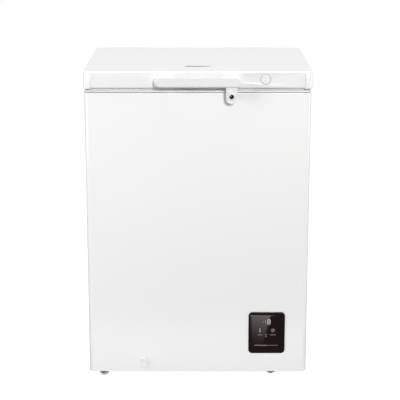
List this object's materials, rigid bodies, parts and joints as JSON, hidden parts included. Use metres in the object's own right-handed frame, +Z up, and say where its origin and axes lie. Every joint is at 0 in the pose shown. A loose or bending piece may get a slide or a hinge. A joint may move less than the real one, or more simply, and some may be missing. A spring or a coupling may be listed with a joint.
{
  "type": "chest freezer",
  "caption": "Compact white chest freezer with a hinged insulated lid, bar handle with padlock hasp, dark touch panel at the lower right, drain cap, wire basket, rollers and feet.",
  "frame": {"origin": "on the floor, under the middle of the whole object's bounding box", "axes": "+Z up; +X to the right of a person who faces the front; +Y towards the back, so the front with its handle and panel faces -Y"},
  "size_m": [0.604, 0.545, 0.8568],
  "materials": {
    "casing_paint": "smooth white baked enamel, satin",
    "back_sheet": "plain galvanised sheet with a thin grey coat",
    "lid_paint": "smooth white baked enamel, satin",
    "white_plastic": "smooth white moulded plastic, semi-gloss",
    "handle_plastic": "smooth moulded plastic, satin",
    "liner": "embossed white sheet, satin",
    "foam": "rigid polyurethane foam, matte",
    "gasket": "soft grey vinyl, matte",
    "dark_glass": "very dark brown-black gloss",
    "bezel": "black, satin edge",
    "display": "lit figures",
    "marks": "pale grey print",
    "board": "green circuit board, matte",
    "grey_plastic": "dark grey moulded plastic, matte",
    "black_plastic": "black moulded plastic, matte",
    "copper": "drawn copper, satin",
    "aluminium": "drawn aluminium, satin",
    "black_steel": "black paint, semi-gloss",
    "zinc": "zinc-plated steel",
    "rubber": "black rubber, matte",
    "wire": "white plastic-dipped steel wire"
  },
  "bodies": {
    "cabinet": {"outer_casing": "casing_paint", "back_panel": "back_sheet", "bottom_panel": "back_sheet", "cabinet_insulation": "foam", "inner_liner": "liner", "rim_frame": "white_plastic", "drain_tube": "white_plastic", "evaporator_tube": "aluminium", "condenser_tube": "copper", "compressor_tray": "zinc", "compressor_pot": "black_steel", "compressor_bolts": "zinc", "compressor_grommets": "rubber", "relay_cover": "black_plastic", "discharge_tube": "copper", "suction_tube": "copper", "filter_drier": "copper", "rear_vent_cover": "back_sheet", "cabinet_screws": "zinc", "cable_gland": "black_plastic", "control_bezel": "bezel", "control_glass": "dark_glass", "display_digits": "display", "panel_marks": "marks", "control_board": "board", "control_housing": "white_plastic", "roller_housings": "grey_plastic", "roller_axles": "zinc", "foot_nuts": "zinc", "padlock_bracket": "black_steel", "bracket_rivets": "zinc", "hinge_bases": "zinc", "hinge_pins": "zinc", "hinge_springs": "zinc"},
    "lid": {"lid_cover": "lid_paint", "lid_corner_front_left": "white_plastic", "lid_corner_front_right": "white_plastic", "lid_corner_rear_left": "white_plastic", "lid_corner_rear_right": "white_plastic", "lid_insulation": "foam", "lid_inner_panel": "white_plastic", "lid_gasket": "gasket", "handle": "handle_plastic", "handle_screws": "zinc", "lock_hasp": "handle_plastic", "lock_cap": "white_plastic", "badge": "grey_plastic", "hinge_leaves": "zinc", "leaf_screws": "zinc"},
    "basket": {"basket_rim": "wire", "basket_floor": "wire", "basket_walls": "wire", "basket_grips": "handle_plastic"},
    "drain_cap": {"drain_cap": "white_plastic"},
    "drain_stopper": {"drain_stopper": "grey_plastic"},
    "roller_front": {"roller_wheel_front": "grey_plastic"},
    "roller_rear": {"roller_wheel_rear": "grey_plastic"},
    "foot_front": {"foot_front": "grey_plastic"},
    "foot_rear": {"foot_rear": "grey_plastic"}
  },
  "joints": [
    {"name": "lid_hinge", "type": "hinge", "parent": "cabinet", "child": "lid", "pos_m": [0, 0.2635, 0.805], "axis": [-1, 0, 0], "range_deg": [0, 80]},
    {"name": "basket_slide", "type": "slide", "parent": "cabinet", "child": "basket", "axis": [1, 0, 0], "range_m": [0, 0.23]},
    {"name": "drain_cap_pull", "type": "slide", "parent": "cabinet", "child": "drain_cap", "axis": [0, -1, 0], "range_m": [0, 0.025]},
    {"name": "drain_stopper_lift", "type": "slide", "parent": "cabinet", "child": "drain_stopper", "axis": [0, 0, 1], "range_m": [0, 0.03]},
    {"name": "roller_front_spin", "type": "hinge", "parent": "cabinet", "child": "roller_front", "pos_m": [-0.261, -0.2105, 0.013], "axis": [0, 1, 0], "continuous": true},
    {"name": "roller_rear_spin", "type": "hinge", "parent": "cabinet", "child": "roller_rear", "pos_m": [-0.261, 0.2235, 0.013], "axis": [0, 1, 0], "continuous": true},
    {"name": "foot_front_turn", "type": "hinge", "parent": "cabinet", "child": "foot_front", "pos_m": [0.204, -0.197, 0.02], "axis": [0, 0, 1], "continuous": true},
    {"name": "foot_rear_turn", "type": "hinge", "parent": "cabinet", "child": "foot_rear", "pos_m": [0.204, 0.2235, 0.02], "axis": [0, 0, 1], "continuous": true}
  ]
}
